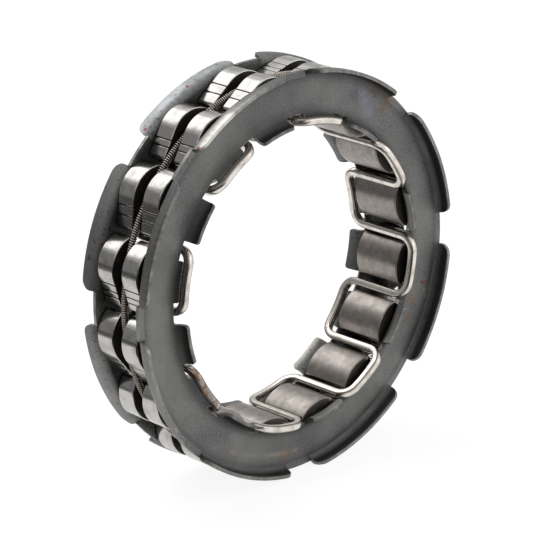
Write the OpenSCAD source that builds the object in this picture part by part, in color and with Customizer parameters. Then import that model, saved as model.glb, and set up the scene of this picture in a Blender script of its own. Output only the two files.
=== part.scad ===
// Caged sprag clutch: a ring of sprags between two pressed side rings, held by one wire and one spring.
// The clutch stands upright on its lips. Its axis lies along Y, and the front side ring faces -Y.
// Each piece is drawn lying down, with the clutch's axis along Z and the front at +Z, and then stood up.
// Angles run counterclockwise as seen from the front, from +X.

/* [Side rings] */
// Width over the free edges of both side rings
cage_w = 15.7; // [15.4:0.1:16]
// Clear width between the two plates
plate_gap = 9.9; // [9.8:0.05:10]
// Thickness of the sheet steel
sheet_t = 0.6; // [0.5:0.05:0.65]
// Outer radius of the lips, which the outer race runs over
lip_r = 34.9; // [34.7:0.05:35.1]
// Outer radius of the plate in the gaps between the lips
plate_edge_r = 34.5; // [34.2:0.05:34.6]
// Width of a gap between two lips, in degrees
lip_gap_a = 9.6; // [8:0.2:11]
// Width of the slit between the end of a lip and the plate beside it, in degrees
relief_a = 0.5; // [0.4:0.1:0.8]
// Inside radius of the bend into a lip
lip_bend_r = 1.1; // [0.9:0.1:1.3]
// Radius of a lip's free corners
lip_corner_r = 1.8; // [1:0.1:1.9]
// Inner radius of the tabs
tab_r = 25.8; // [25.6:0.05:26]
// Width of a tab, in degrees
tab_a = 15; // [13:0.5:15.5]
// Inside radius of the bend into a tab
tab_bend_r = 1.8; // [1.6:0.1:1.9]
// Radius of a tab's free corners
tab_corner_r = 0.6; // [0.4:0.1:0.7]
// Radius at the bottom of the notches that clear the wire
notch_r = 27.3; // [27.2:0.05:27.5]
// Radius of the short rim under a loop of the wire
rim_r = 26.8; // [26.6:0.01:26.8]
// Width of that rim, in degrees
rim_a = 14; // [12:0.5:14]

/* [Sprags] */
// Length along the clutch's axis
sprag_l = 9.6; // [9.3:0.1:9.6]
// Radius reached by the crest of the head
crest_r = 34.8; // [34.7:0.05:34.8]
// Radius reached by the foot
foot_r = 24.85; // [24.75:0.05:25]
// Width of the groove for the spring
groove_w = 2.2; // [1.8:0.1:2.6]

/* [Retaining wire] */
// Thickness of the square wire
wire_t = 1.4; // [1.2:0.05:1.4]
// Radius of the wire's centre line
wire_r = 26.22; // [26.2:0.02:26.3]
// Bend radius of the centre line
wire_bend_r = 2.4; // [1.6:0.1:2.4]

/* [Garter spring] */
// Radius of the coil's centre line
spring_r = 32.6; // [32.6:0.02:32.7]
// Outer diameter of the coil
spring_d = 1.2; // [0.9:0.05:1.2]

/* [Hidden] */
$fn = 90;
sprags = 16;
lips = sprags / 2;
pitch_a = 360 / sprags;
lip_a = 360 / lips;
// How far an added piece reaches into its neighbour, and a cutter past what it cuts
lap = 0.5;
past = 1;

// Heights above the middle plane of the clutch, on the front side ring
plate_in_z = plate_gap / 2;
plate_out_z = plate_in_z + sheet_t;
edge_z = cage_w / 2;

// Bends of the side ring: each has its centre above the plate's outer face
lip_bend_x = lip_r - sheet_t - lip_bend_r;
tab_bend_x = tab_r + sheet_t + tab_bend_r;
// Width and middle of a notch, which reaches from a tab to the next rim, in degrees
notch_a = lip_a / 2 - tab_a / 2 - rim_a / 2;
notch_off_a = (rim_a - tab_a) / 4;
// The slits at the ends of the lips start just inside the bend
relief_x = lip_bend_x - 0.15;
// A corner's rounding stops just short of the flange's edges
corner_in = 0.97;

// Outline of a sprag, seen from the front with its head up and the overrunning side to the right
head_r = 5.2;
head_c = [1.2, crest_r - head_r];
tail_slope_a = 27.2;
tail_l = 4.3;
tail_r = 0.8;
nose_a = 25;
nose_end_a = -75;
nose_r = 0.8;
tail_end_a = 250;
foot_arc_r = 6;
foot_c = [-0.45, foot_r + foot_arc_r];
foot_corner_r = 0.5;
foot_left_a = 34;
foot_right_a = 37.5;
left_heel_a = 170;
right_heel_a = 370;
left_flute_c = [-5.6, 28.5];
left_flute_r = 2.75;
left_flute_a = [50, -45];
right_flute_c = [5.2, 28.9];
right_flute_r = 2.6;
right_flute_a = [230, 130];
// The groove's floor is crowned, so that it clears the spring while the sprag tilts
floor_crown_r = 12;
floor_clear = 0.15;
floor_top = spring_r - spring_d / 2 - floor_clear;

// The wire's loops lie over the rims of the side rings, just below the lips' free edges
loop_below = 0.14;
loop_z = edge_z - loop_below - wire_t / 2;
bar_z = loop_z - wire_bend_r;
wire_pitch_s = 2 * PI * wire_r / sprags;
wire_corner = 0.22;
bend_steps = 5;
loop_steps = 3;

function sprag_name(k) = str("sprag_", k < 10 ? "0" : "", k);

function dir(a) = [cos(a), sin(a)];

// Points of an arc from angle a to angle b. It leaves out its first point where the one before ends there.
function arc(c, r, a, b, steps, first = 0) =
    [for (i = [first:steps]) c + r * dir(a + (b - a) * i / steps)];

// Stands a piece up, so that its front faces -Y
module stand() {
    rotate([90, 0, 0]) children();
}

// A sector of a revolved outline, centred on angle a
module sector(a, width) {
    rotate([0, 0, a - width / 2]) rotate_extrude(angle = width) children();
}

// A sheet bent through a quarter turn, in section, then straight for a length
module bend_section(inside_r, straight) {
    intersection() {
        difference() {
            circle(inside_r + sheet_t);
            circle(inside_r);
        }
        translate([0, -2 * inside_r - sheet_t]) square(2 * inside_r + sheet_t);
    }
    translate([inside_r, 0]) square([sheet_t, straight]);
}

// Section of the side ring through a lip and a tab
module side_ring_section() {
    translate([tab_bend_x, plate_in_z]) square([lip_bend_x - tab_bend_x, sheet_t]);
    translate([lip_bend_x, plate_out_z + lip_bend_r])
        bend_section(lip_bend_r, edge_z - plate_out_z - lip_bend_r);
    translate([tab_bend_x, plate_out_z + tab_bend_r])
        mirror([1, 0]) bend_section(tab_bend_r, edge_z - plate_out_z - tab_bend_r);
}

// Removes the free corner of a flange that ends at angle a. The flange lies on the side that side gives.
module corner_cut(a, side, at_r, corner_r) {
    rotate([0, 0, a]) translate([at_r, 0, edge_z]) rotate([0, 90, 0])
        linear_extrude(2 * sheet_t, center = true) difference() {
            translate([-past, side > 0 ? -past : -corner_r]) square(corner_r + past);
            translate([corner_r, side * corner_r] * corner_in) circle(corner_r);
        }
}

// Section of a cut from inside the tabs out to radius to_r
module inner_cutter(to_r) {
    translate([tab_r - past, 0]) square([to_r - tab_r + past, edge_z + past]);
}

module side_ring() {
    difference() {
        union() {
            difference() {
                rotate_extrude() side_ring_section();
                for (k = [0:lips - 1]) {
                    gap_at = k * lip_a;
                    // Gap between two lips
                    sector(gap_at, lip_gap_a)
                        translate([relief_x, 0]) square([lip_r - relief_x + past, edge_z + past]);
                    // Opening between two tabs, down to the rim
                    sector(gap_at - lip_a / 4, lip_a - tab_a)
                        inner_cutter(rim_r);
                    // Notches beside the tab and the rim
                    sector(gap_at + notch_off_a, notch_a) inner_cutter(notch_r);
                    sector(gap_at - lip_a / 2 - notch_off_a, notch_a) inner_cutter(notch_r);
                }
            }
            for (k = [0:lips - 1])
                sector(k * lip_a, lip_gap_a - 2 * relief_a)
                    translate([relief_x - lap, plate_in_z])
                        square([plate_edge_r - relief_x + lap, sheet_t]);
        }
        for (k = [0:lips - 1]) {
            gap_at = k * lip_a;
            tab_at = gap_at + lip_a / 4;
            for (side = [-1, 1]) {
                corner_cut(gap_at + side * lip_gap_a / 2, side, lip_r - sheet_t / 2, lip_corner_r);
                corner_cut(tab_at - side * tab_a / 2, side, tab_r + sheet_t / 2, tab_corner_r);
            }
        }
    }
}

module front_side_ring() {
    color("#5c5e5d") stand() side_ring();
}

// The same pressing, turned over
module rear_side_ring() {
    color("#5c5e5d") stand() rotate([180, 0, 0]) side_ring();
}

// The wire's route on its own cylinder: arc length, height and heading. Bar k passes between two sprags.
function bar_route(k) = let (s = k * wire_pitch_s, side = k % 2 == 0 ? 1 : -1) concat(
    [for (i = [0:bend_steps]) let (t = 90 * i / bend_steps)
        [s - wire_bend_r * (1 - sin(t)), side * (bar_z + wire_bend_r * cos(t)), -side * t]],
    [for (i = [0:bend_steps]) let (t = 90 * i / bend_steps)
        [s + wire_bend_r * (1 - cos(t)), -side * (bar_z + wire_bend_r * sin(t)), side * (t - 90)]],
    [for (i = [1:loop_steps - 1])
        [s + wire_bend_r + (wire_pitch_s - 2 * wire_bend_r) * i / loop_steps, -side * loop_z, 0]]
);

// The wire's section, as pairs of steps across the route and away from the axis
function wire_section() = let (a = wire_t / 2, b = a - wire_corner) [
    [a, -b], [a, b], [b, a], [-b, a], [-a, b], [-a, -b], [-b, -a], [b, -a]
];

function wire_point(p, q) = let (
    s = p[0] - q[0] * sin(p[2]),
    z = p[1] + q[0] * cos(p[2]),
    a = s / wire_r * 180 / PI,
    r = wire_r + q[1]
) [r * cos(a), r * sin(a), z];

module retaining_wire() {
    route = [for (k = [0:sprags - 1], p = bar_route(k)) p];
    section = wire_section();
    n = len(section);
    m = len(route);
    points = [for (p = route, q = section) wire_point(p, q)];
    faces = [for (i = [0:m - 1], j = [0:n - 1]) let (
        a = i * n + j,
        b = i * n + (j + 1) % n,
        c = ((i + 1) % m) * n + (j + 1) % n,
        d = ((i + 1) % m) * n + j
    ) each [[a, b, c], [a, c, d]]];
    color("#b9b5ad") stand() polyhedron(points, faces);
}

module garter_spring() {
    color("#9a938c") stand() rotate_extrude() translate([spring_r, 0]) circle(d = spring_d, $fn = 32);
}

// Outline of a sprag: nose, crest, straight tail slope, tail, flute, foot and flute
function sprag_outline() = let (
    nose_c = head_c + (head_r - nose_r) * dir(nose_a),
    tail_from = head_c + head_r * dir(90 + tail_slope_a),
    tail_c = tail_from - tail_l * dir(tail_slope_a) - tail_r * dir(90 + tail_slope_a),
    left_c = foot_c + (foot_arc_r - foot_corner_r) * dir(270 - foot_left_a),
    right_c = foot_c + (foot_arc_r - foot_corner_r) * dir(270 + foot_right_a)
) concat(
    arc(nose_c, nose_r, nose_end_a, nose_a, 6),
    arc(head_c, head_r, nose_a, 90 + tail_slope_a, 15, 1),
    arc(tail_c, tail_r, 90 + tail_slope_a, tail_end_a, 8),
    arc(left_flute_c, left_flute_r, left_flute_a[0], left_flute_a[1], 8),
    arc(left_c, foot_corner_r, left_heel_a, 270 - foot_left_a, 4),
    arc(foot_c, foot_arc_r, 270 - foot_left_a, 270 + foot_right_a, 12, 1),
    arc(right_c, foot_corner_r, 270 + foot_right_a, right_heel_a, 4, 1),
    arc(right_flute_c, right_flute_r, right_flute_a[0], right_flute_a[1], 8)
);

// Section of the groove: all that is above its floor
module above_floor() {
    difference() {
        translate([-2 * head_r, head_c[1]]) square([4 * head_r, 2 * head_r]);
        translate([0, floor_top - floor_crown_r]) circle(floor_crown_r);
    }
}

// Sprag k sits at pitch k - 1/2, counted from +X
module sprag(k) {
    color("#a39d97") stand() rotate([0, 0, (k - 0.5) * pitch_a - 90]) difference() {
        linear_extrude(sprag_l, center = true) polygon(sprag_outline());
        linear_extrude(groove_w, center = true) above_floor();
    }
}

front_side_ring();
rear_side_ring();
retaining_wire();
garter_spring();
for (k = [1:sprags])
    sprag(k);
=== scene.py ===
"""A caged sprag clutch: sixteen steel sprags between two pressed side rings, wire and garter spring.

Every piece is drawn lying down, in millimetres, with the clutch's axis along Z and its front at +Z, and is
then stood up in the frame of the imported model, where the front faces -Y.
"""

import logging
import math
from collections.abc import Iterator
from dataclasses import dataclass, field
from enum import Enum, IntEnum
from typing import ClassVar

import bpy
from mathutils import Matrix, Vector


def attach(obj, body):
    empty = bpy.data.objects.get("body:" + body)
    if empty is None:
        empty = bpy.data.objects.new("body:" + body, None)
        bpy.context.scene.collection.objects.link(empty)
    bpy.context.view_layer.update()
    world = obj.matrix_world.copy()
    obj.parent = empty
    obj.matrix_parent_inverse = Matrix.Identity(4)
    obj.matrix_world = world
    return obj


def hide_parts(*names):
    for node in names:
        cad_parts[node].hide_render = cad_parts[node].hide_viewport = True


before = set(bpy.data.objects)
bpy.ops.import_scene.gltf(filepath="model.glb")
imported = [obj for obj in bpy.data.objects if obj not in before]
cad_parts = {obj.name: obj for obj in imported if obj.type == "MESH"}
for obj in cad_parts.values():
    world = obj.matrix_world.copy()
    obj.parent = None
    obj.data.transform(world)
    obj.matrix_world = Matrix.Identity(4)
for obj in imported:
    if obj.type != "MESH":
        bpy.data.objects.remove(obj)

LOG = logging.getLogger("sprag_clutch")
MM = 0.001
TINY = 1e-6
FULL_TURN = 360.0
SPRAGS = 16

Colour = tuple[float, float, float]
Socket = bpy.types.NodeSocket
Place = tuple[float, float]


class Side(Enum):
    """The end of the clutch that a side ring closes."""

    FRONT = "front"
    REAR = "rear"


class Zone(Enum):
    """The parts of a side ring's sheet, from its inside outwards."""

    INNER = "inner"
    PLATE = "plate"
    GAP = "gap"
    LIP = "lip"


class Look(IntEnum):
    """The finishes on a sprag, in the order of its materials."""

    GROUND = 0
    GROOVE = 1
    # The ends carry painted shade
    END = 2


class Slot(Enum):
    """The record's material slots."""

    SIDE_RINGS = "side_rings"
    WIRE = "retaining_wire"
    SPRING = "garter_spring"
    SPRAGS = "sprags"


def direction(angle: float) -> Vector:
    """Returns the flat unit vector at an angle in degrees."""
    return Vector((math.cos(math.radians(angle)), math.sin(math.radians(angle))))


def smooth(value: float) -> float:
    """Returns value, held between 0 and 1, on a smooth step."""
    held = max(0.0, min(1.0, value))
    return held * held * (3 - 2 * held)


def stood(point: Vector) -> Vector:
    """Returns a drawn point stood up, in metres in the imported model's frame, where the front faces -Y."""
    return Vector((point.x, -point.z, point.y)) * MM


def around(radius: float, angle: float, height: float) -> Vector:
    """Returns the drawn point at a radius, an angle in degrees and a height over the middle plane."""
    flat = direction(angle) * radius
    return Vector((flat.x, flat.y, height))


def along(radius: float, height: float, angles: range) -> tuple[Vector, ...]:
    """Returns the drawn points at a radius and a height, at each of some angles in degrees."""
    return tuple(around(radius, angle, height) for angle in angles)


@dataclass
class Draft:
    """The points and faces of one piece, in drawn millimetres, before they become a mesh.

    Attributes:
        points: The drawn points.
        faces: The corners of each face, counterclockwise as seen from outside.
        looks: The number of the finish on each face.
        marks: Named values at the points, which the finishes read.
    """

    points: list[Vector] = field(default_factory=list)
    faces: list[tuple[int, ...]] = field(default_factory=list)
    looks: list[int] = field(default_factory=list)
    marks: dict[str, list[float]] = field(default_factory=dict)

    def point(self, place: Vector, **marks: float) -> int:
        """Adds a point.

        Args:
            place: Where it is drawn.
            **marks: Its named values.

        Returns:
            Its number.
        """
        self.points.append(place)
        for name, value in marks.items():
            self.marks.setdefault(name, []).append(value)
        return len(self.points) - 1

    def face(self, corners: list[int], look: int = 0) -> None:
        """Adds a face, and leaves out corners that repeat.

        Args:
            corners: The numbers of its points.
            look: The number of its finish.
        """
        kept = [c for i, c in enumerate(corners) if c != corners[i - 1]]
        if len(set(kept)) > 2:
            self.faces.append(tuple(kept))
            self.looks.append(int(look))

    def strip(self, first: list[int], second: list[int]) -> None:
        """Joins two closed rows of points with a band of faces.

        Args:
            first: The numbers of one row's points.
            second: Those of the row beyond it.
        """
        for i in range(len(first)):
            j = (i + 1) % len(first)
            self.face([first[i], first[j], second[j], second[i]])

    def build(self, name: str, finishes: list[bpy.types.Material], crease: float) -> bpy.types.Object:
        """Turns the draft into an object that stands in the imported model's frame.

        Args:
            name: The piece's name.
            finishes: Its materials, by the numbers that the faces give.
            crease: The angle in degrees from which an edge stays sharp.

        Returns:
            The new object.
        """
        mesh = bpy.data.meshes.new(name)
        mesh.from_pydata([stood(p) for p in self.points], [], self.faces)
        for finish in finishes:
            mesh.materials.append(finish)
        mesh.polygons.foreach_set("material_index", self.looks)
        for mark, values in self.marks.items():
            mesh.attributes.new(mark, "FLOAT", "POINT").data.foreach_set("value", values)
        mesh.polygons.foreach_set("use_smooth", [True] * len(self.faces))
        mesh.set_sharp_from_angle(angle=math.radians(crease))
        mesh.validate()
        piece = bpy.data.objects.new(name, mesh)
        bpy.context.scene.collection.objects.link(piece)
        return piece


def even_shading(piece: bpy.types.Object, face_weight: int = 80) -> None:
    """Keeps flat faces flat beside rounded edges.

    Args:
        piece: The piece.
        face_weight: How much more a large face counts than a small one, from 50 to 100.
    """
    modifier = piece.modifiers.new("even_shading", "WEIGHTED_NORMAL")
    modifier.keep_sharp = True
    modifier.weight = face_weight


class Graph:
    """The node tree of one material or world, with short ways to add and join its nodes."""

    # The share of a stain's reach in which it shows in full
    CORE: ClassVar[float] = 0.15

    def __init__(self, owner: bpy.types.Material | bpy.types.World) -> None:
        """Starts with an empty tree.

        Args:
            owner: The material or world whose tree it is.
        """
        self.owner = owner
        self.owner.use_nodes = True
        self.tree = owner.node_tree
        self.tree.nodes.clear()

    @classmethod
    def of_material(cls, name: str) -> "Graph":
        """Returns the empty tree of a new material."""
        return cls(bpy.data.materials.new(name))

    def add(self, kind: str, **settings: object) -> bpy.types.Node:
        """Adds a node.

        Args:
            kind: Its type.
            **settings: Its own properties.

        Returns:
            The node.
        """
        node = self.tree.nodes.new(kind)
        for name, value in settings.items():
            setattr(node, name, value)
        return node

    def feed(self, socket: Socket, value: object) -> None:
        """Joins a socket to another, or sets it to a constant.

        Args:
            socket: The socket that takes the value.
            value: Another node's socket, a number, a vector or a colour.
        """
        if isinstance(value, bpy.types.NodeSocket):
            self.tree.links.new(value, socket)
        elif isinstance(value, tuple) and len(value) == 3 and socket.type == "RGBA":
            socket.default_value = (*value, 1.0)
        else:
            socket.default_value = value

    def math(self, operation: str, first: object, second: object) -> Socket:
        """Works out a value from two others.

        Args:
            operation: The node's own name for what it does.
            first: The first value.
            second: The second value.

        Returns:
            The result.
        """
        node = self.add("ShaderNodeMath", operation=operation)
        self.feed(node.inputs[0], first)
        self.feed(node.inputs[1], second)
        return node.outputs[0]

    def plus(self, first: object, second: object) -> Socket:
        """Returns the sum of two values."""
        return self.math("ADD", first, second)

    def minus(self, first: object, second: object) -> Socket:
        """Returns the first value less the second."""
        return self.math("SUBTRACT", first, second)

    def times(self, first: object, second: object) -> Socket:
        """Returns the product of two values."""
        return self.math("MULTIPLY", first, second)

    def larger(self, first: object, second: object) -> Socket:
        """Returns the larger of two values."""
        return self.math("MAXIMUM", first, second)

    def ramp(self, value: object, start: float, end: float, low: float = 0.0, high: float = 1.0) -> Socket:
        """Puts a value on a smooth step.

        Args:
            value: The value.
            start: The value at which the step starts.
            end: The value at which it ends, which may be the smaller one.
            low: The result at the start.
            high: The result at the end.

        Returns:
            The result.
        """
        node = self.add("ShaderNodeMapRange", interpolation_type="SMOOTHSTEP")
        for socket, given in zip(node.inputs, (value, start, end, low, high)):
            self.feed(socket, given)
        return node.outputs[0]

    def mix(self, factor: object, first: object, second: object) -> Socket:
        """Lays one colour over another.

        Args:
            factor: How much of the second colour shows, from 0 to 1.
            first: The colour below.
            second: The colour above.

        Returns:
            The colour that shows.
        """
        node = self.add("ShaderNodeMix", data_type="RGBA")
        self.feed(node.inputs["Factor"], factor)
        self.feed(node.inputs[6], first)
        self.feed(node.inputs[7], second)
        return node.outputs[2]

    def places(self) -> Socket:
        """Finds the piece's own coordinates.

        Returns:
            The coordinates in millimetres.
        """
        coordinates = self.add("ShaderNodeTexCoord")
        scaled = self.add("ShaderNodeVectorMath", operation="SCALE")
        self.feed(scaled.inputs[0], coordinates.outputs["Object"])
        self.feed(scaled.inputs["Scale"], 1 / MM)
        return scaled.outputs[0]

    def stretched(self, places: Socket, factors: tuple[float, float, float]) -> Socket:
        """Stretches coordinates.

        Args:
            places: The coordinates.
            factors: What they are multiplied by along X, Y and Z.

        Returns:
            The new coordinates.
        """
        node = self.add("ShaderNodeVectorMath", operation="MULTIPLY")
        self.feed(node.inputs[0], places)
        self.feed(node.inputs[1], factors)
        return node.outputs[0]

    def noise(self, places: Socket, size: float, detail: float = 3.0, roughness: float = 0.5) -> Socket:
        """Makes a noise.

        Args:
            places: The coordinates.
            size: About how wide its patches are, in millimetres.
            detail: How many finer layers it has.
            roughness: How strong the finer layers are.

        Returns:
            The noise, about 0.5.
        """
        node = self.add("ShaderNodeTexNoise")
        self.feed(node.inputs["Vector"], places)
        self.feed(node.inputs["Scale"], 1 / size)
        self.feed(node.inputs["Detail"], detail)
        self.feed(node.inputs["Roughness"], roughness)
        return node.outputs["Fac"]

    def near(self, places: Socket, centre: Vector, reach: float) -> Socket:
        """Measures how near the surface is to a drawn point.

        Args:
            places: The coordinates.
            centre: The drawn point.
            reach: The distance in millimetres at which the result comes down to 0.

        Returns:
            A value from 0 to 1, which is 1 at the point.
        """
        node = self.add("ShaderNodeVectorMath", operation="DISTANCE")
        self.feed(node.inputs[0], places)
        self.feed(node.inputs[1], tuple(stood(centre) / MM))
        return self.ramp(node.outputs["Value"], reach, self.CORE * reach)

    def radius(self, places: Socket) -> Socket:
        """Measures the distance from the clutch's axis.

        Args:
            places: The coordinates.

        Returns:
            The distance in millimetres.
        """
        node = self.add("ShaderNodeVectorMath", operation="LENGTH")
        self.feed(node.inputs[0], self.stretched(places, (1.0, 0.0, 1.0)))
        return node.outputs["Value"]

    def mark(self, name: str) -> Socket:
        """Returns a value that the mesh holds at its points."""
        return self.add("ShaderNodeAttribute", attribute_name=name).outputs["Fac"]

    def bump(self, height: Socket, depth: float, strength: float) -> Socket:
        """Raises the surface by a height.

        Args:
            height: The height, from 0 to 1.
            depth: How far 1 stands out, in millimetres.
            strength: How much of it shows.

        Returns:
            The normal.
        """
        node = self.add("ShaderNodeBump")
        self.feed(node.inputs["Height"], height)
        self.feed(node.inputs["Distance"], depth * MM)
        self.feed(node.inputs["Strength"], strength)
        return node.outputs["Normal"]

    def grey(self, kind: str, level: float) -> Socket:
        """Adds a plain grey shader.

        Args:
            kind: Its type.
            level: How light it is, where 1 is white.

        Returns:
            The shader.
        """
        node = self.add(kind)
        self.feed(node.inputs["Color"], (level, level, level))
        return node.outputs[0]

    def either(self, factor: Socket, first: Socket, second: Socket) -> Socket:
        """Chooses between two shaders.

        Args:
            factor: The choice.
            first: The shader where it is 0.
            second: The shader where it is 1.

        Returns:
            The shader that shows.
        """
        node = self.add("ShaderNodeMixShader")
        for socket, given in zip(node.inputs, (factor, first, second)):
            self.feed(socket, given)
        return node.outputs[0]

    def close(self, output: str, shader: Socket) -> None:
        """Joins a shader to the tree's output."""
        self.feed(self.add(output).inputs["Surface"], shader)

    def shade(self, **values: object) -> bpy.types.Material:
        """Closes a material's tree with a surface shader.

        Args:
            **values: What its sockets take, by their names, with _ for a space.

        Returns:
            The material.
        """
        shader = self.add("ShaderNodeBsdfPrincipled")
        for name, value in values.items():
            self.feed(shader.inputs[name.replace("_", " ")], value)
        self.close("ShaderNodeOutputMaterial", shader.outputs[0])
        return self.owner


@dataclass(frozen=True)
class Stain:
    """A patch of another tint on a finish.

    Attributes:
        centres: The drawn points from which it spreads.
        reach: How far it spreads from each, in millimetres.
        colour: Its colour.
        strength: How much of the colour shows at a centre.
        even: How much of it shows between its ragged patches, from 0 to 1.
    """

    centres: tuple[Vector, ...]
    reach: float
    colour: Colour
    strength: float
    even: float = 0.0

    def over(self, graph: Graph, places: Socket, base: Socket, ragged: Socket) -> Socket:
        """Lays the stain over a colour.

        Args:
            graph: The finish's node tree.
            places: The coordinates.
            base: The colour below.
            ragged: The patches of its ragged edge, from 0 to 1.

        Returns:
            The colour that shows.
        """
        spread = graph.near(places, self.centres[0], self.reach)
        for centre in self.centres[1:]:
            spread = graph.larger(spread, graph.near(places, centre, self.reach))
        spread = graph.times(spread, graph.larger(ragged, self.even))
        return graph.mix(graph.times(spread, self.strength), base, self.colour)


@dataclass(frozen=True)
class StainedFinish:
    """A finish with stains of its own, and in places painted light and shade.

    Attributes:
        name: The material's name.
        stains: The stains and the patches of painted light and shade, of which a later one lies over an
            earlier one.
    """

    name: str
    stains: tuple[Stain, ...] = ()

    def stained(self, graph: Graph, places: Socket, colour: Socket, ragged: Socket) -> Socket:
        """Lays the stains over a colour.

        Args:
            graph: The finish's node tree.
            places: The coordinates.
            colour: The colour below.
            ragged: The patches of their ragged edges, from 0 to 1.

        Returns:
            The colour that shows.
        """
        for stain in self.stains:
            colour = stain.over(graph, places, colour, ragged)
        return colour


@dataclass(frozen=True)
class PhosphateFinish(StainedFinish):
    """Dark phosphated sheet: mottled, semi-matt, rubbed bright on its edges and tinted by heat in places.

    Attributes:
        rub: How bright the rubbed edges are at most, from 0 to 1.
        specks: How dark the small specks are, from 0 to 1.
        shade: How dark the painted shade in the hollows of the bends is, from 0 to 1.
    """

    rub: float = 0.45
    specks: float = 0.2
    shade: float = 0.62
    dark: Colour = (0.118, 0.121, 0.119)
    light: Colour = (0.182, 0.184, 0.176)
    grained: Colour = (0.24, 0.242, 0.235)
    specked: Colour = (0.05, 0.045, 0.042)
    # Painted shade for the hollows of the bends and the back of the sheet
    hollow: Colour = (0.012, 0.0125, 0.0125)
    worn: Colour = (0.40, 0.385, 0.36)

    def material(self) -> bpy.types.Material:
        """Mixes the finish.

        Returns:
            The material.
        """
        graph = Graph.of_material(self.name)
        places = graph.places()
        clouds = graph.noise(places, 9.0, 4.0, 0.55)
        grain = graph.noise(places, 0.35, 4.0, 0.65)
        specks = graph.noise(places, 0.6, 2.0, 0.5)
        colour = graph.mix(graph.ramp(clouds, 0.3, 0.7), self.dark, self.light)
        colour = graph.mix(graph.ramp(grain, 0.4, 0.65, 0.0, 0.55), colour, self.grained)
        ragged = graph.ramp(graph.noise(places, 2.5, 5.0, 0.6), 0.3, 0.62)
        colour = self.stained(graph, places, colour, ragged)
        colour = graph.mix(graph.ramp(specks, 0.62, 0.68, 0.0, self.specks), colour, self.specked)
        # Painted shade: darkens the hollows of the bends and the back of the sheet where the bend mark says
        colour = graph.mix(graph.times(graph.mark("bend"), self.shade), colour, self.hollow)
        edge = graph.ramp(graph.mark("edge"), 0.16, 0.02)
        patchy = graph.ramp(graph.noise(places, 1.6, 4.0), 0.4, 0.65, 0.1, self.rub)
        rubbed = graph.times(edge, patchy)
        colour = graph.mix(rubbed, colour, self.worn)
        rough = graph.ramp(graph.noise(places, 5.0, 4.0), 0.3, 0.7, 0.40, 0.54)
        height = graph.plus(grain, graph.times(clouds, 2.0))
        return graph.shade(
            Base_Color=colour,
            Metallic=0.82,
            Roughness=graph.minus(rough, graph.times(rubbed, 0.12)),
            Normal=graph.bump(height, 0.03, 0.6),
        )


@dataclass(frozen=True)
class GroundSteelFinish(StainedFinish):
    """Ground and tumbled steel of the sprags: semi-matt bands outside, warmer on the feet, with pits and
    scores.

    Attributes:
        heads_from: The radius down to which a sprag looks as on its head.
        feet_to: The radius up to which it looks as on its foot.
        pale: The colour of the lighter blotches on the feet.
        tanned: The colour of the darker blotches on the feet.
        scored: The colour in the bottom of a score line.
        burr: The colour of the raised edge beside it.
    """

    heads_from: float = 30.5
    feet_to: float = 27.0
    outside: Colour = (0.50, 0.485, 0.465)
    foot: Colour = (0.29, 0.262, 0.24)
    clouded: Colour = (0.2, 0.185, 0.17)
    lined: Colour = (0.25, 0.235, 0.22)
    pitted: Colour = (0.07, 0.06, 0.055)
    pale: Colour = (0.46, 0.44, 0.42)
    tanned: Colour = (0.17, 0.135, 0.105)
    scored: Colour = (0.05, 0.046, 0.043)
    burr: Colour = (0.66, 0.64, 0.62)

    def material(self) -> bpy.types.Material:
        """Mixes the finish.

        Returns:
            The material.
        """
        graph = Graph.of_material(self.name)
        places = graph.places()
        feet = graph.ramp(graph.radius(places), self.heads_from, self.feet_to)
        lines = graph.noise(graph.stretched(places, (1.0, 0.12, 1.0)), 0.16, 3.0, 0.6)
        cloud = graph.noise(places, 2.4, 4.0, 0.6)
        pits = graph.ramp(graph.noise(places, 0.42, 2.0, 0.5), 0.70, 0.76)
        blotch = graph.noise(places, 1.3, 5.0, 0.65)
        colour = graph.mix(feet, self.outside, self.foot)
        colour = graph.mix(graph.ramp(cloud, 0.42, 0.72, 0.0, 0.45), colour, self.clouded)
        colour = graph.mix(graph.ramp(lines, 0.5, 0.8, 0.0, 0.18), colour, self.lined)
        colour = graph.mix(graph.times(pits, 0.75), colour, self.pitted)
        colour = graph.mix(graph.times(feet, graph.ramp(blotch, 0.5, 0.68, 0.0, 0.35)), colour, self.pale)
        colour = graph.mix(graph.times(feet, graph.ramp(blotch, 0.47, 0.33, 0.0, 0.4)), colour, self.tanned)
        ragged = graph.ramp(graph.noise(places, 0.9, 5.0, 0.65), 0.38, 0.6)
        colour = self.stained(graph, places, colour, ragged)
        score = graph.mark("score")
        colour = graph.mix(graph.ramp(score, 0.2, 0.7), colour, self.scored)
        colour = graph.mix(graph.ramp(score, -0.2, -0.8, 0.0, 0.25), colour, self.burr)
        rough = graph.ramp(cloud, 0.3, 0.7, 0.13, 0.22)
        height = graph.minus(graph.times(lines, 0.5), pits)
        return graph.shade(
            Base_Color=colour,
            Metallic=1.0,
            Roughness=graph.plus(rough, graph.times(feet, 0.16)),
            Normal=graph.bump(height, 0.008, 0.5),
        )


@dataclass(frozen=True)
class GrooveFinish:
    """The unground steel in a sprag's groove: painted almost black as the groove's shade, and dull."""

    name: str
    # Painted shade: the almost black of the groove
    groove_shade: Colour = (0.022, 0.020, 0.019)
    bare: Colour = (0.10, 0.092, 0.085)

    def material(self) -> bpy.types.Material:
        """Mixes the finish.

        Returns:
            The material.
        """
        graph = Graph.of_material(self.name)
        places = graph.places()
        patches = graph.noise(places, 1.2, 5.0, 0.65)
        return graph.shade(
            Base_Color=graph.mix(graph.ramp(patches, 0.52, 0.75, 0.0, 0.7), self.groove_shade, self.bare),
            Metallic=0.6,
            Roughness=graph.ramp(patches, 0.3, 0.7, 0.62, 0.45),
            Normal=graph.bump(graph.noise(places, 0.3, 4.0, 0.6), 0.012, 0.5),
        )


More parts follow.
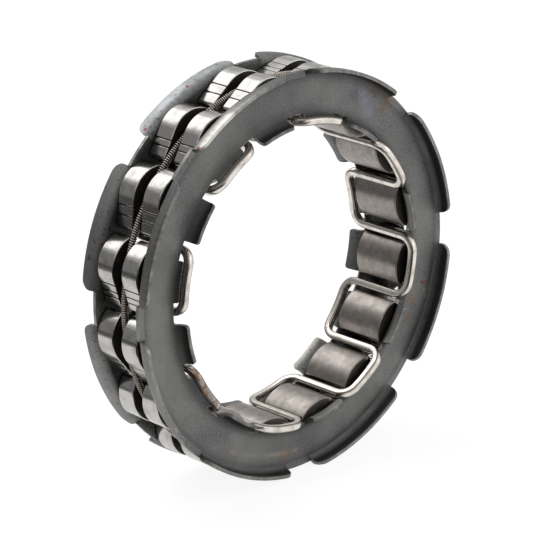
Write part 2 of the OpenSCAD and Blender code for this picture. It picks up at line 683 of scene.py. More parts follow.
@dataclass(frozen=True)
class BrightWireFinish(StainedFinish):
    """Drawn spring wire: bright and warm, with fine draw lines, dull patches and rust on one loop."""

    bright: Colour = (0.76, 0.715, 0.66)
    dull: Colour = (0.53, 0.49, 0.445)
    grained: Colour = (0.2, 0.175, 0.15)
    # Painted shade along the wire's rounded edges
    edge: Colour = (0.17, 0.15, 0.13)

    def material(self) -> bpy.types.Material:
        """Mixes the finish.

        Returns:
            The material.
        """
        graph = Graph.of_material(self.name)
        places = graph.places()
        patches = graph.noise(places, 1.8, 5.0, 0.6)
        grain = graph.noise(places, 0.2, 3.0, 0.6)
        colour = graph.mix(graph.ramp(patches, 0.42, 0.7), self.bright, self.dull)
        colour = graph.mix(graph.ramp(grain, 0.6, 0.85, 0.0, 0.4), colour, self.grained)
        # Painted shade: darkens the wire's rounded edges by the corner mark
        colour = graph.mix(graph.ramp(graph.mark("corner"), 0.25, 0.9, 0.0, 0.85), colour, self.edge)
        ragged = graph.ramp(graph.noise(places, 1.3, 5.0, 0.7), 0.36, 0.56)
        return graph.shade(
            Base_Color=self.stained(graph, places, colour, ragged),
            Metallic=0.95,
            Roughness=graph.ramp(patches, 0.35, 0.7, 0.18, 0.32),
            Normal=graph.bump(grain, 0.006, 0.3),
        )


@dataclass(frozen=True)
class SpringWireFinish:
    """The thin wire of the garter spring: warm grey with brown patches, and painted shade inside the coil.
    """

    name: str
    light: Colour = (0.52, 0.46, 0.41)
    brown: Colour = (0.24, 0.18, 0.145)
    # Painted shade on the side of the wire towards the inside of the coil
    dark: Colour = (0.02, 0.017, 0.015)

    def material(self) -> bpy.types.Material:
        """Mixes the finish.

        Returns:
            The material.
        """
        graph = Graph.of_material(self.name)
        places = graph.places()
        patches = graph.noise(places, 1.5, 4.0, 0.6)
        colour = graph.mix(graph.ramp(patches, 0.45, 0.75, 0.0, 0.7), self.light, self.brown)
        return graph.shade(
            # Painted shade on the inside of the coil, between its turns
            Base_Color=graph.mix(graph.ramp(graph.mark("inside"), 0.05, 0.55), colour, self.dark),
            Metallic=0.9,
            Roughness=graph.ramp(patches, 0.3, 0.7, 0.28, 0.42),
            Normal=graph.bump(graph.noise(places, 0.12, 2.0), 0.004, 0.3),
        )


@dataclass
class SideRing:
    """One pressed side ring: a flat plate with eight lips, eight tabs, eight rims and sixteen notches.

    Its section is followed along the middle of the sheet, from a tab's free edge to a lip's free edge. Sizes
    are in millimetres, and those whose names end in _a are angles in degrees.

    Attributes:
        side: The end of the clutch that it closes.
        tab_turn_a: How far the tabs are turned from the middles of their places.
        column_a: How far apart the section is drawn away from the corners.
        tab_hollow: How far the painted shade in the tabs' bend reaches onto the plate.
        tab_hollow_share: How much of that bend the painted shade takes to grow deep.
        lip_hollow: How far the painted shade in the lips' bend reaches onto the plate.
        lip_hollow_share: How much of that bend the painted shade takes to grow deep.
        plain_edge: How far the painted shade stays from a lip's free edge.
        back_shade: How far the painted shade of the cage reaches in from the lips, on the back of the sheet,
        which is its side towards the sprags.
        back_fade: The length over which that painted shade grows deep.
    """

    side: Side
    cage_w: float = 15.7
    plate_gap: float = 9.9
    sheet_t: float = 0.6
    lip_r: float = 34.9
    plate_edge_r: float = 34.5
    lip_gap_a: float = 9.6
    lip_bend_r: float = 1.1
    lip_corner_r: float = 1.8
    tab_r: float = 25.8
    tab_a: float = 15.5
    tab_turn_a: float = 0.5
    tab_bend_r: float = 1.8
    tab_corner_r: float = 0.6
    rim_r: float = 26.72
    rim_a: float = 14.6
    rim_corner_r: float = 0.3
    notch_r: float = 27.3
    lips: int = 8
    edge_round: float = 0.11
    crease_a: float = 50.0
    column_a: float = 1.25
    corner_steps: int = 8
    tab_hollow: float = 0.7
    tab_hollow_share: float = 0.6
    lip_hollow: float = 1.3
    lip_hollow_share: float = 0.8
    plain_edge: float = 0.3
    back_shade: float = 5.0
    back_fade: float = 2.0

    ROWS: ClassVar[dict[Zone, int]] = {Zone.INNER: 10, Zone.PLATE: 12, Zone.LIP: 14, Zone.GAP: 4}

    def __post_init__(self) -> None:
        """Works out the lengths along the section."""
        half = self.sheet_t / 2
        self.lip_a = FULL_TURN / self.lips
        self.middle_z = self.plate_gap / 2 + half
        self.edge_z = self.cage_w / 2
        self.tab_mid_r = self.tab_bend_r + half
        self.lip_mid_r = self.lip_bend_r + half
        self.tab_bend_x = self.tab_r + self.sheet_t + self.tab_bend_r
        self.lip_bend_x = self.lip_r - self.sheet_t - self.lip_bend_r
        self.tab_straight = self.edge_z - self.middle_z - self.tab_mid_r
        self.plate_from = self.tab_straight + self.tab_mid_r * math.pi / 2
        self.plate_to = self.plate_from + self.lip_bend_x - self.tab_bend_x
        self.lip_bend_end = self.plate_to + self.lip_mid_r * math.pi / 2
        self.lip_end = self.lip_bend_end + self.edge_z - self.middle_z - self.lip_mid_r
        self.gap_end = self.plate_to + self.plate_edge_r - self.lip_bend_x
        self.rim_s, self.notch_s = self.length_to(self.rim_r), self.length_to(self.notch_r)
        self.tab_middle = self.lip_a / 4 + self.tab_turn_a
        self.rim_middle = -self.lip_a / 4

    def length_to(self, radius: float) -> float:
        """Returns the length along the section at which the tab bend's outer face is at a radius."""
        return self.tab_straight + self.tab_mid_r * math.acos((self.tab_bend_x - radius) / self.tab_bend_r)

    def section(self, s: float, flat: bool = False) -> tuple[Vector, Vector]:
        """Follows the section.

        Args:
            s: The length along the middle of the sheet.
            flat: Whether the plate goes on flat past the lip's bend, as it does between two lips.

        Returns:
            The middle of the sheet there, as radius and height, and the direction of its outer face.
        """
        if s < self.tab_straight:
            return Vector((self.tab_bend_x - self.tab_mid_r, self.edge_z - s)), Vector((1.0, 0.0))
        if s < self.plate_from:
            turn = direction(180 + math.degrees((s - self.tab_straight) / self.tab_mid_r))
            return Vector((self.tab_bend_x, self.middle_z + self.tab_mid_r)) + self.tab_mid_r * turn, -turn
        if flat or s < self.plate_to:
            return Vector((self.tab_bend_x + s - self.plate_from, self.middle_z)), Vector((0.0, 1.0))
        if s < self.lip_bend_end:
            turn = direction(270 + math.degrees((s - self.plate_to) / self.lip_mid_r))
            return Vector((self.lip_bend_x, self.middle_z + self.lip_mid_r)) + self.lip_mid_r * turn, -turn
        rise = self.middle_z + self.lip_mid_r + s - self.lip_bend_end
        return Vector((self.lip_r - self.sheet_t / 2, rise)), Vector((-1.0, 0.0))

    @staticmethod
    def corner(inward: float, radius: float) -> float:
        """Rounds a free corner.

        Args:
            inward: How far a place is from the side of the corner.
            radius: The corner's radius.

        Returns:
            How far the corner cuts the edge back there.
        """
        if inward >= radius:
            return 0.0
        return radius - math.sqrt(radius**2 - (radius - inward) ** 2)

    def turn_in_gap(self, angle: float) -> float:
        """Returns an angle counted from the middle of the nearest gap between two lips."""
        return (angle + self.lip_a / 2) % self.lip_a - self.lip_a / 2

    def inner_end(self, angle: float) -> float:
        """Finds the inner edge of the sheet, on a tab, a rim or in a notch.

        Args:
            angle: The angle.

        Returns:
            The length along the section at which the sheet starts.
        """
        turn = self.turn_in_gap(angle)
        for middle, width, start, radius, corner_r in (
            (self.tab_middle, self.tab_a, 0.0, self.tab_r, self.tab_corner_r),
            (self.rim_middle, self.rim_a, self.rim_s, self.tab_r, self.rim_corner_r),
        ):
            inward = math.radians(width / 2 - abs(turn - middle)) * radius
            if inward > -TINY:
                return start + self.corner(max(0.0, inward), corner_r)
        return self.notch_s

    def lip_side(self, angle: float) -> float:
        """Returns how far a point of a lip is from the nearer end of it, in millimetres."""
        return math.radians(abs(self.turn_in_gap(angle)) - self.lip_gap_a / 2) * self.lip_r

    def outer_end(self, angle: float) -> float:
        """Returns where a lip's sheet ends along the section at an angle."""
        return self.lip_end - self.corner(max(0.0, self.lip_side(angle)), self.lip_corner_r)

    def columns(self) -> list[float]:
        """Finds the angles at which the section is drawn, closer together at the corners.

        Returns:
            The angles, once round the ring.
        """
        special: list[float] = []
        for edge, sense, radius, corner_r in (
            (self.lip_gap_a / 2, 1, self.lip_r, self.lip_corner_r),
            (-self.lip_gap_a / 2, -1, self.lip_r, self.lip_corner_r),
            (self.tab_middle - self.tab_a / 2, 1, self.tab_r, self.tab_corner_r),
            (self.tab_middle + self.tab_a / 2, -1, self.tab_r, self.tab_corner_r),
            (self.rim_middle - self.rim_a / 2, 1, self.tab_r, self.rim_corner_r),
            (self.rim_middle + self.rim_a / 2, -1, self.tab_r, self.rim_corner_r),
        ):
            for i in range(self.corner_steps + 1):
                inward = corner_r * (1 - math.cos(math.pi / 2 * i / self.corner_steps))
                special.append(edge + sense * math.degrees(inward / radius))
        steps = round(self.lip_a / self.column_a)
        crowded, same = self.column_a / 5, 1e-4
        regular = [-self.lip_a / 2 + self.lip_a * i / steps for i in range(steps)]
        kept = [a for a in regular if min(abs(a - b) for b in special) > crowded]
        period = sorted(special + kept)
        period = [a for i, a in enumerate(period) if i == 0 or a - period[i - 1] > same]
        return [a + self.lip_a * k for k in range(self.lips) for a in period]

    def zones_at(self, turn: float) -> list[Zone]:
        """Finds the parts that the sheet has at an angle.

        Args:
            turn: The angle from the middle of the nearest gap between two lips.

        Returns:
            The parts.
        """
        zones = [Zone.PLATE]
        if self.inner_end(turn) < self.notch_s - TINY:
            zones.append(Zone.INNER)
        zones.append(Zone.GAP if abs(turn) < self.lip_gap_a / 2 else Zone.LIP)
        return zones

    def draft(self) -> Draft:
        """Draws the ring as one closed sheet with two faces and the walls between them.

        Returns:
            The draft.
        """
        draft = Draft()
        columns = self.columns()
        count = len(columns)
        made: dict[tuple[Zone, int, int], tuple[int, int]] = {}

        def pair_at(zone: Zone, i: int, row: int) -> tuple[int, int]:
            """Finds the outer and the inner point at a place, which are made when first asked for.

            Args:
                zone: The part of the sheet.
                i: The column, which may be the first one once more.
                row: The row in the part.

            Returns:
                The numbers of the two points.
            """
            zone, row = self.shared(zone, row)
            key = (zone, i % count, row)
            if key not in made:
                made[key] = self.add_pair(draft, zone, columns[i % count], row)
            return made[key]

        cells: list[tuple[tuple[Zone, int, int], ...]] = []
        for i in range(count):
            after = columns[(i + 1) % count] + (FULL_TURN if i + 1 == count else 0.0)
            for zone in self.zones_at(self.turn_in_gap((columns[i] + after) / 2)):
                for row in range(self.ROWS[zone]):
                    corners = ((i, row), (i, row + 1), (i + 1, row + 1), (i + 1, row))
                    cells.append(tuple((zone, *corner) for corner in corners))
        sides: set[tuple[int, int]] = set()
        lower: dict[int, int] = {}
        for cell in cells:
            pairs = [pair_at(*key) for key in cell]
            lower.update(pairs)
            top = [pair[0] for pair in pairs]
            draft.face(top)
            draft.face([pair[1] for pair in reversed(pairs)])
            sides.update(zip(top, top[1:] + top[:1]))
        for a, b in sorted(sides):
            if (b, a) not in sides:
                draft.face([b, a, lower[a], lower[b]])
        if self.side is Side.REAR:
            draft.points = [Vector((p.x, -p.y, -p.z)) for p in draft.points]
        return draft

    def shared(self, zone: Zone, row: int) -> tuple[Zone, int]:
        """Gives a row that two parts of the sheet share its one name.

        Args:
            zone: The part.
            row: The row in it.

        Returns:
            The part and the row by which it goes.
        """
        if zone is Zone.INNER and row == self.ROWS[zone]:
            return Zone.PLATE, 0
        if zone in (Zone.GAP, Zone.LIP) and row == 0:
            return Zone.PLATE, self.ROWS[Zone.PLATE]
        return zone, row

    def add_pair(self, draft: Draft, zone: Zone, angle: float, row: int) -> tuple[int, int]:
        """Adds the outer and the inner point of the sheet at one place.

        Args:
            draft: The draft that takes them.
            zone: The part of the sheet.
            angle: The angle in degrees.
            row: The row in the part, counted outwards.

        Returns:
            The numbers of the two points.
        """
        start, end = self.inner_end(angle), self.outer_end(angle)
        share = row / self.ROWS[zone]
        if zone is Zone.INNER:
            s = start + (self.notch_s - start) * share
            edge = min(s - start, self.flange_side(angle))
        elif zone is Zone.PLATE:
            s = self.notch_s + (self.plate_to - self.notch_s) * share
            edge = s - start
        elif zone is Zone.GAP:
            s = self.plate_to + (self.gap_end - self.plate_to) * share
            edge = self.gap_end - s
        else:
            s = self.plate_to + (end - self.plate_to) * share
            edge = min(end - s, max(0.0, self.lip_side(angle)))
        middle, out = self.section(s, zone is Zone.GAP)
        outer, inner = middle + out * (self.sheet_t / 2), middle - out * (self.sheet_t / 2)
        # Painted shade: in the hollows of the bends on the outer face, and the cage's shade on the back
        hollow = 0.0 if zone is Zone.GAP else self.bent(s)
        return (
            draft.point(around(outer.x, angle, outer.y), edge=edge, bend=hollow),
            draft.point(around(inner.x, angle, inner.y), edge=edge, bend=self.shaded(s)),
        )

    def bent(self, s: float) -> float:
        """Measures how deep in the painted shade of a bend's hollow the sheet is.

        Args:
            s: The length along the section.

        Returns:
            The depth, from 0 to 1.
        """
        if s > self.lip_end - self.plain_edge:
            return 0.0
        tab_depth = self.tab_hollow + self.tab_hollow_share * self.tab_mid_r
        lip_depth = self.lip_hollow + self.lip_hollow_share * self.lip_mid_r
        return max(
            smooth((self.plate_from + self.tab_hollow - s) / tab_depth),
            smooth((s - self.plate_to + self.lip_hollow) / lip_depth),
        )

    def shaded(self, s: float) -> float:
        """Returns how deep in the cage's painted shade the sheet's back is at a length, from 0 to 1."""
        grown = smooth((s - self.plate_to + self.back_shade) / self.back_fade)
        return grown * smooth((self.plate_to + self.lip_mid_r - s) / self.lip_mid_r)

    def flange_side(self, angle: float) -> float:
        """Measures how far a point of a tab or rim is from the side of it.

        Args:
            angle: The angle.

        Returns:
            The distance in millimetres.
        """
        turn = self.turn_in_gap(angle)
        reach = max(
            self.tab_a / 2 - abs(turn - self.tab_middle),
            self.rim_a / 2 - abs(turn - self.rim_middle),
        )
        return max(0.0, math.radians(reach) * self.tab_r)

    def build(self, finish: bpy.types.Material) -> bpy.types.Object:
        """Builds the ring, rounds the edges of its sheet and puts it on the cage.

        Args:
            finish: Its material.

        Returns:
            The ring.
        """
        node = f"{self.side.value}_side_ring"
        piece = self.draft().build(f"{self.side.value}_ring", [finish], self.crease_a)
        rounding = piece.modifiers.new("edge_round", "BEVEL")
        rounding.width = self.edge_round * MM
        rounding.segments = 2
        rounding.limit_method = "ANGLE"
        rounding.angle_limit = math.radians(self.crease_a)
        rounding.miter_outer = "MITER_ARC"
        even_shading(piece)
        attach(piece, "cage")
        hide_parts(node)
        return piece


@dataclass
class RetainingWire:
    """The square wire that winds between the sprags and over the rims of both side rings.

    Attributes:
        radius: The radius of its centre line.
        bend_r: The bend radius of its centre line.
        loop_z: The height of the loops' centre line.
        edge_r: The radius of its four edges.
        edge_fade: How much weaker the painted shade on an edge is at its ends than in its middle, from 0 to
            1.
        crown: How far the middle of a flat stands out over its ends.
    """

    thickness: float = 1.4
    radius: float = 26.22
    bend_r: float = 2.4
    loop_z: float = 7.01
    edge_r: float = 0.34
    edge_fade: float = 0.6
    crown: float = 0.04
    crease_a: float = 60.0
    edge_steps: int = 4
    flat_steps: int = 4
    bend_steps: int = 12
    bar_steps: int = 4
    loop_steps: int = 10

    # The degrees by which two bars, by their numbers, stand higher than even spacing puts them
    UNEVEN: ClassVar[dict[int, float]] = {0: 0.38, 15: 0.38}

    def outline(self) -> list[tuple[Vector, float]]:
        """Draws the wire's section, as steps across its route and away from the axis.

        Returns:
            The points of the section, each with its painted shade: 1 in the middle of a rounded edge and 0
            on the flats.
        """
        flat = self.thickness / 2 - self.edge_r - self.crown
        corners = [Vector((flat * x, flat * y)) for x, y in ((1, 1), (-1, 1), (-1, -1), (1, -1))]
        found: list[tuple[Vector, float]] = []
        for quarter, corner in enumerate(corners):
            for i in range(self.edge_steps + 1):
                turn = direction(quarter * 90 + 90 * i / self.edge_steps)
                # How deep the painted shade on the rounded edge is here
                mark = 1 - abs(2 * i / self.edge_steps - 1) * self.edge_fade
                found.append((corner + self.edge_r * turn, mark))
            away = self.edge_r * direction(quarter * 90 + 90)
            after = corners[(quarter + 1) % 4]
            for i in range(1, self.flat_steps):
                t = i / self.flat_steps
                rise = 1 + self.crown / self.edge_r * 4 * t * (1 - t)
                found.append((corner.lerp(after, t) + away * rise, 0.0))
        return found

    def bar_at(self, number: int) -> float:
        """Returns where a bar stands on the wire's cylinder, as an arc length."""
        angle = number * FULL_TURN / SPRAGS + self.UNEVEN.get(number % SPRAGS, 0.0)
        return math.radians(angle) * self.radius

    def route(self) -> list[tuple[float, float, float]]:
        """Draws the wire's route on its cylinder, one bar and one loop after another.

        Returns:
            The arc length, the height and the heading in degrees at each step.
        """
        bar_z = self.loop_z - self.bend_r
        steps: list[tuple[float, float, float]] = []
        for k in range(SPRAGS):
            s, after = self.bar_at(k), self.bar_at(k + 1)
            side = 1 if k % 2 == 0 else -1
            turns = [90 * i / self.bend_steps for i in range(self.bend_steps + 1)]
            for t in turns:
                turn = direction(t)
                z = side * (bar_z + self.bend_r * turn.x)
                steps.append((s - self.bend_r * (1 - turn.y), z, -side * t))
            for i in range(1, self.bar_steps):
                steps.append((s, side * bar_z * (1 - 2 * i / self.bar_steps), -side * 90.0))
            for t in turns:
                turn = direction(t)
                z = -side * (bar_z + self.bend_r * turn.y)
                steps.append((s + self.bend_r * (1 - turn.x), z, side * (t - 90)))
            for i in range(1, self.loop_steps):
                flat = (after - s - 2 * self.bend_r) * i / self.loop_steps
                steps.append((s + self.bend_r + flat, -side * self.loop_z, 0.0))
        return steps

    def build(self, finish: bpy.types.Material) -> bpy.types.Object:
        """Sweeps the section along the route and puts the wire on the cage.

        Args:
            finish: Its material.

        Returns:
            The wire.
        """
        draft = Draft()
        outline = self.outline()
        rows: list[list[int]] = []
        for s, z, heading in self.route():
            row = []
            for step, corner in outline:
                angle = math.degrees((s - step.x * math.sin(math.radians(heading))) / self.radius)
                height = z + step.x * math.cos(math.radians(heading))
                row.append(draft.point(around(self.radius + step.y, angle, height), corner=corner))
            rows.append(row)
        for row, after in zip(rows, rows[1:] + rows[:1]):
            draft.strip(row, after)
        piece = draft.build("bent_wire", [finish], self.crease_a)
        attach(piece, "cage")
        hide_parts("retaining_wire")
        return piece


@dataclass
class GarterSpring:
    """The close-wound coil that runs round in the grooves of the sprags."""

    radius: float = 32.6
    coil_d: float = 1.2
    wire_d: float = 0.24
    crease_a: float = 80.0
    turns: int = 520
    turn_steps: int = 16
    wire_sides: int = 6

    def build(self, finish: bpy.types.Material) -> bpy.types.Object:
        """Winds the coil and puts it on the cage.

        Args:
            finish: Its material.

        Returns:
            The spring.
        """
        draft = Draft()
        coil_r = (self.coil_d - self.wire_d) / 2
        count = self.turns * self.turn_steps
        advance = 2 * math.pi * self.radius / self.turns
        across = Vector((0.0, 0.0, 1.0))
        rows: list[list[int]] = []
        for i in range(count):
            angle = FULL_TURN * i / count
            coil = direction(FULL_TURN * i / self.turn_steps)
            outward = around(1.0, angle, 0.0)
            onward = around(1.0, angle + 90, 0.0)
            centre = outward * (self.radius + coil_r * coil.x) + across * (coil_r * coil.y)
            tangent = onward * advance + (across * coil.x - outward * coil.y) * (2 * math.pi * coil_r)
            away = outward * coil.x + across * coil.y
            beside = tangent.normalized().cross(away)
            row = []
            for j in range(self.wire_sides):
                turn = direction(FULL_TURN * j / self.wire_sides) * (self.wire_d / 2)
                # How deep the painted shade is: towards the inside of the coil
                inside = max(0.0, -turn.x / self.wire_d * 2)
                row.append(draft.point(centre + away * turn.x + beside * turn.y, inside=inside))
            rows.append(row)
        for row, after in zip(rows, rows[1:] + rows[:1]):
            draft.strip(row, after)
        piece = draft.build("wound_spring", [finish], self.crease_a)
        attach(piece, "cage")
        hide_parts("garter_spring")
        return piece


@dataclass(frozen=True)
class Arc:
    """A round stretch of a sprag's outline: centre, radius, first and last angle, and number of steps."""

    centre: Place
    radius: float
    start: float
    end: float
    steps: int

    def points(self) -> list[Vector]:
        """Returns the points along the arc."""
        angles = [self.start + (self.end - self.start) * i / self.steps for i in range(self.steps + 1)]
        return [Vector(self.centre) + self.radius * direction(angle) for angle in angles]


@dataclass
class Sprag:
    """One sprag: a wedge with a round head and foot, two flutes, and a groove round its head.

    Its outline is seen from the front, with its head up and the overrunning side to the right. Sizes are in
    millimetres, and those whose names end in _a are angles in degrees, counted from the right.

    Attributes:
        number: Its number, counted counterclockwise from the first one above three o'clock.
        scores: How far the score lines lie down its slope.
        floor_top: The radius of the groove's floor in its middle.
        floor_r: The radius of the crown on that floor.
        slope_a: The fall of the straight slope beside the crest.
        slope_l: The length of that slope.
        end_round: The radius of the broken edges at its ends.
        groove_round: The radius of the broken edges along the groove.
        groove_fade: The height over the floor from which the groove's edges are broken in full.
        nose_under_a: Where the nose's round starts, below the overrunning side of the head.
        nose_a: Where the nose's round passes into the head's.
        tail_under_a: Where the tail's round ends, below the slope.
        left_heel_a: Where the left heel's round passes into the foot's.
        right_heel_a: Where the foot's round passes into the right heel's.
    """

    number: int
    scores: tuple[float, ...]
    length: float = 9.6
    crest_r: float = 34.8
    foot_r: float = 24.85
    groove_w: float = 2.2
    floor_top: float = 31.85
    floor_r: float = 12.0
    head_r: float = 5.2
    head_x: float = 1.2
    slope_a: float = 27.2
    slope_l: float = 4.55
    nose_r: float = 0.8
    nose_a: float = 25.0
    nose_under_a: float = -75.0
    tail_r: float = 0.8
    tail_under_a: float = 250.0
    foot_x: float = -0.45
    foot_arc_r: float = 6.0
    heel_r: float = 0.5
    left_heel_from_a: float = 170.0
    left_heel_a: float = 236.0
    right_heel_a: float = 307.5
    right_heel_to_a: float = 370.0
    left_flute: Arc = Arc((-5.6, 28.5), 2.75, 50, -45, 16)
    right_flute: Arc = Arc((5.2, 28.9), 2.6, 230, 130, 16)
    end_round: float = 0.22
    groove_round: float = 0.16
    groove_fade: float = 0.3
    crease_a: float = 40.0
    round_steps: int = 3
    score_w: float = 0.26
    score_depth: float = 0.05

    # Steps down the slope at a score: place in widths, depth in depths, and the mark for the finish
    NOTCH: ClassVar[tuple[tuple[float, float, float], ...]] = (
        (-0.7, 0.0, 0.0),
        (-0.5, 0.0, 0.0),
        (-0.4, 0.4, 1.0),
        (0.1, 1.0, 1.0),
        (0.5, 0.1, 0.5),
        (0.7, -0.12, -1.0),
        (1.0, -0.12, -1.0),
        (1.3, 0.0, 0.0),
    )

    def head(self) -> Vector:
        """Returns the centre of the head's round."""
        return Vector((self.head_x, self.crest_r - self.head_r))

    def slope_start(self) -> Vector:
        """Returns the point where the crest passes into the straight slope."""
        return self.head() + self.head_r * direction(90 + self.slope_a)

    def arcs(self) -> list[list[Vector]]:
        """Draws the outline, counterclockwise from below the nose.

        Returns:
            The points of each stretch.
        """
        slope_side = 90 + self.slope_a
        foot = Vector((self.foot_x, self.foot_r + self.foot_arc_r))
        nose = self.head() + (self.head_r - self.nose_r) * direction(self.nose_a)
        slope_end = self.slope_start() - self.slope_l * direction(self.slope_a)
        tail = slope_end - self.tail_r * direction(slope_side)
        left = foot + (self.foot_arc_r - self.heel_r) * direction(self.left_heel_a)
        right = foot + (self.foot_arc_r - self.heel_r) * direction(self.right_heel_a)
        return [
            Arc(tuple(nose), self.nose_r, self.nose_under_a, self.nose_a, 10).points(),
            Arc(tuple(self.head()), self.head_r, self.nose_a, slope_side, 40).points()[1:],
            self.scored_slope(),
            Arc(tuple(tail), self.tail_r, slope_side, self.tail_under_a, 12).points(),
            self.left_flute.points(),
            Arc(tuple(left), self.heel_r, self.left_heel_from_a, self.left_heel_a, 6).points(),
            Arc(tuple(foot), self.foot_arc_r, self.left_heel_a, self.right_heel_a, 36).points()[1:],
            Arc(tuple(right), self.heel_r, self.right_heel_a, self.right_heel_to_a, 6).points()[1:],
            self.right_flute.points(),
        ]

    def scored_slope(self) -> list[Vector]:
        """Draws the straight slope towards the tail, with a shallow notch at each score line.

        Returns:
            Its points.
        """
        down = -direction(self.slope_a)
        inward = -direction(90 + self.slope_a)
        start = self.slope_start()
        return [
            start + down * (score + step * self.score_w) + inward * (self.score_depth * depth)
            for score in self.scores
            for step, depth, _ in self.NOTCH
        ]

    def score_marks(self, outline: list[Vector]) -> list[float]:
        """Marks the points of the outline that lie on a score.

        Args:
            outline: The sprag's outline.

        Returns:
            For each point 1 in the bottom of a score, -1 on the burr beside it and 0 elsewhere.
        """
        marks = [mark for _ in self.scores for _, _, mark in self.NOTCH]
        points = self.scored_slope()
        return [next((m for q, m in zip(points, marks) if (p - q).length < TINY), 0.0) for p in outline]

    def floor_at(self, x: float) -> float:
        """Returns the height of the groove's crowned floor at a place across the sprag."""
        return self.floor_top - self.floor_r + math.sqrt(self.floor_r**2 - x**2)

    def outline(self) -> list[Vector]:
        """Joins the stretches, with a point added on each side where the groove's floor meets them.

        Returns:
            The outline, counterclockwise.
        """
        points = [p for stretch in self.arcs() for p in stretch]
        full: list[Vector] = []
        for point, after in zip(points, points[1:] + points[:1]):
            full.append(point)
            low, high = point.y - self.floor_at(point.x), after.y - self.floor_at(after.x)
            if low * high < 0:
                full.append(point.lerp(after, low / (low - high)))
        return full

    def normals(self, outline: list[Vector]) -> list[Vector]:
        """Finds the directions in which the outline faces.

        Args:
            outline: The sprag's outline.

        Returns:
            The outward direction at each of its points.
        """
        found: list[Vector] = []
        for i in range(len(outline)):
            onward = outline[(i + 1) % len(outline)] - outline[i - 1]
            found.append(Vector((onward.y, -onward.x)).normalized())
        return found

    def levels(self, cut: list[float]) -> list[tuple[float, list[float]]]:
        """Steps from the front end over both its broken edges to the groove's wall.

        Args:
            cut: The share of the groove's broken edge at each point of the outline, from 0 to 1.

        Returns:
            The height of each row, and how far each of its points is drawn in.
        """
        found: list[tuple[float, list[float]]] = []
        for i in range(self.round_steps + 1):
            turn = direction(90 - 90 * i / self.round_steps)
            z = self.length / 2 - self.end_round * (1 - turn.y)
            found.append((z, [self.end_round * (1 - turn.x)] * len(cut)))
        for i in range(self.round_steps + 1):
            turn = direction(90 * i / self.round_steps)
            z = self.groove_w / 2 + self.groove_round * (1 - turn.y)
            inset = self.groove_round * (1 - turn.x)
            found.append((z, [inset * share for share in cut]))
        return found

    def floor_points(self, outline: list[Vector], cut: list[float]) -> dict[int, Vector]:
        """Spreads points evenly over the groove's floor, one below each point of the head.

        Args:
            outline: The sprag's outline.
            cut: More than 0 at each of its points that is above the floor.

        Returns:
            The points on the floor, by the numbers of those above them, counterclockwise.
        """
        count = len(outline)
        head = [i for i, share in enumerate(cut) if share > TINY]
        first = next(i for i in head if (i - 1) % count not in head)
        last = next(i for i in head if (i + 1) % count not in head)
        run = (last - first) % count + 1
        right, left = outline[(first - 1) % count], outline[(last + 1) % count]
        found: dict[int, Vector] = {}
        for k in range(run):
            x = right.x + (left.x - right.x) * (k + 1) / (run + 1)
            found[(first + k) % count] = Vector((x, self.floor_at(x)))
        return found

    def placed(self, flat: Vector, z: float) -> Vector:
        """Turns a point of the outline to the sprag's own place in the clutch.

        Args:
            flat: The point.
            z: Its height over the middle plane.

        Returns:
            The drawn point.
        """
        turn = (self.number - 0.5) * FULL_TURN / SPRAGS - 90
        turned = Matrix.Rotation(math.radians(turn), 2) @ flat
        return Vector((turned.x, turned.y, z))

    def draft(self) -> Draft:
        """Draws the sprag as rows of points from its front end to its rear end.

        Returns:
            The draft.
        """
        draft = Draft()
        outline = self.outline()
        normals = self.normals(outline)
        scored = self.score_marks(outline)
        cut = [max(0.0, min(1.0, (p.y - self.floor_at(p.x)) / self.groove_fade)) for p in outline]
        floor = self.floor_points(outline, cut)

        def row(z: float, insets: list[float]) -> list[int]:
            """Adds the outline at a height.

            Args:
                z: The height.
                insets: How far each point is drawn in.

            Returns:
                The numbers of its points.
            """
            made = []
            for point, normal, inset, mark in zip(outline, normals, insets, scored):
                made.append(draft.point(self.placed(point - normal * inset, z), score=mark))
            return made

        def floor_row(wall: list[int], z: float) -> list[int]:
            """Adds the row at the foot of a groove's wall.

            Args:
                wall: The row at the top of the wall.
                z: The height of both.

            Returns:
                The row. It shares the wall's points where the outline is below the floor.
            """
            made = list(wall)
            for i, flat in floor.items():
                made[i] = draft.point(self.placed(flat, z), score=0.0)
            return made

        levels = self.levels(cut)
        groove, wall_insets = self.groove_w / 2, levels[-1][1]
        front = [row(z, insets) for z, insets in levels]
        front_floor = floor_row(front[-1], groove)
        rear_wall = row(-groove, wall_insets)
        rear_floor = floor_row(rear_wall, -groove)
        rear = [row(-z, insets) for z, insets in reversed(levels[:-1])]
        rows = [*front, front_floor, rear_floor, rear_wall, *rear]
        for band, (upper, under) in enumerate(zip(rows, rows[1:])):
            in_groove = abs(band - len(front)) <= 1
            for i in range(len(outline)):
                j = (i + 1) % len(outline)
                look = Look.GROOVE if in_groove and cut[i] + cut[j] > 0 else Look.GROUND
                draft.face([upper[i], under[i], under[j], upper[j]], look)
        draft.face(rows[0], Look.END)
        draft.face(list(reversed(rows[-1])), Look.END)
        return draft

    def build(self, finishes: dict[Look, bpy.types.Material]) -> bpy.types.Object:
        """Builds the sprag and puts it on its own body.

        Args:
            finishes: Its materials.

        Returns:
            The sprag.
        """
        body = f"sprag_{self.number:02d}"
        piece = self.draft().build(f"{body}_steel", [finishes[look] for look in Look], self.crease_a)
        even_shading(piece)
        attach(piece, body)
        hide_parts(body)
        return piece


